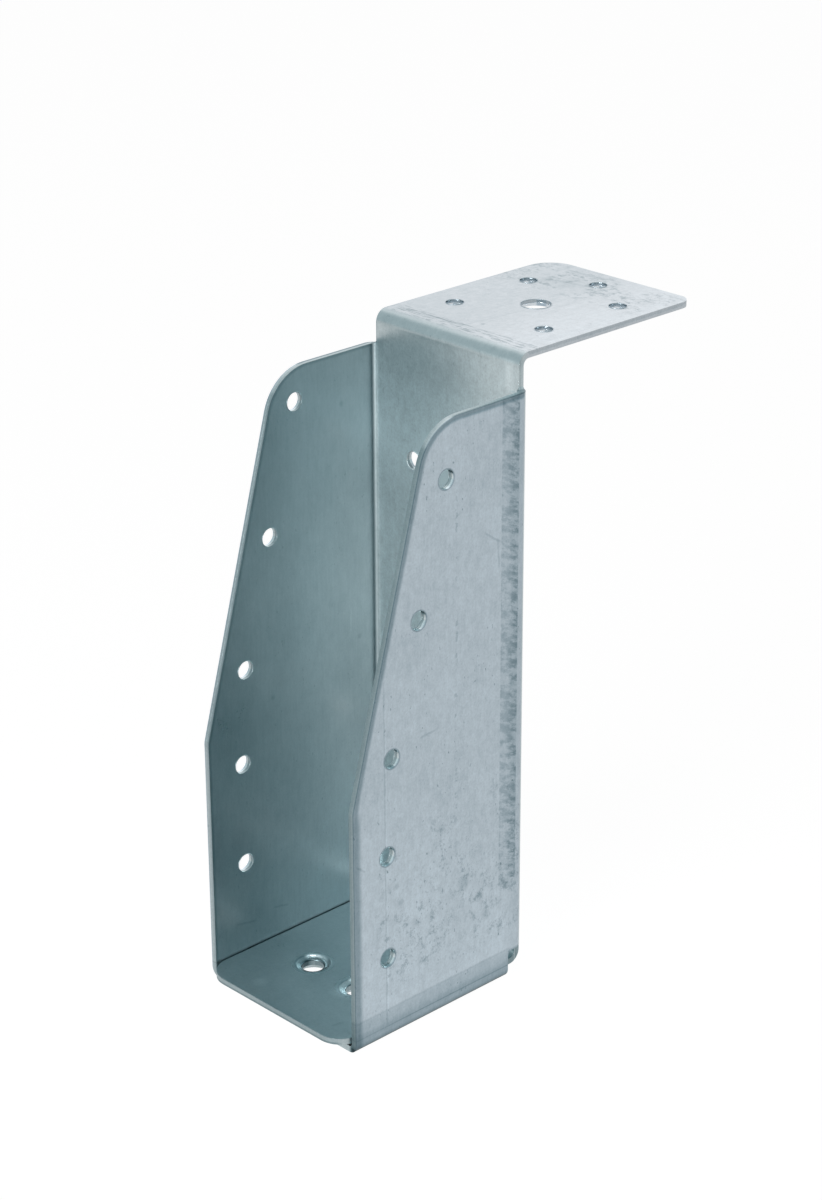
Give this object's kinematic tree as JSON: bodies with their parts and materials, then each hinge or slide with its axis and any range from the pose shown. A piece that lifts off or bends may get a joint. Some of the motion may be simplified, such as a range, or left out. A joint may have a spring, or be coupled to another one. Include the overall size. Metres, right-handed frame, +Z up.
{
  "type": "joist hanger",
  "caption": "Galvanised steel joist hanger folded from one sheet: upright U-shaped cradle with nail holes, a seat locked to side flaps, and a punched top lip that hooks over the header.",
  "frame": {"origin": "middle of the width, on the plane of the rear face that bears on the header, level with the top of the seat", "axes": "+X across the joist, +Y from the joist towards the header, +Z up; the lip lies over the header on the +Y side"},
  "size_m": [0.0494, 0.112, 0.151],
  "materials": {
    "galvanised_steel": "zinc-coated, rolled, with light scuffs"
  },
  "bodies": {
    "root": {"joist_hanger": "galvanised_steel"}
  },
  "joints": []
}
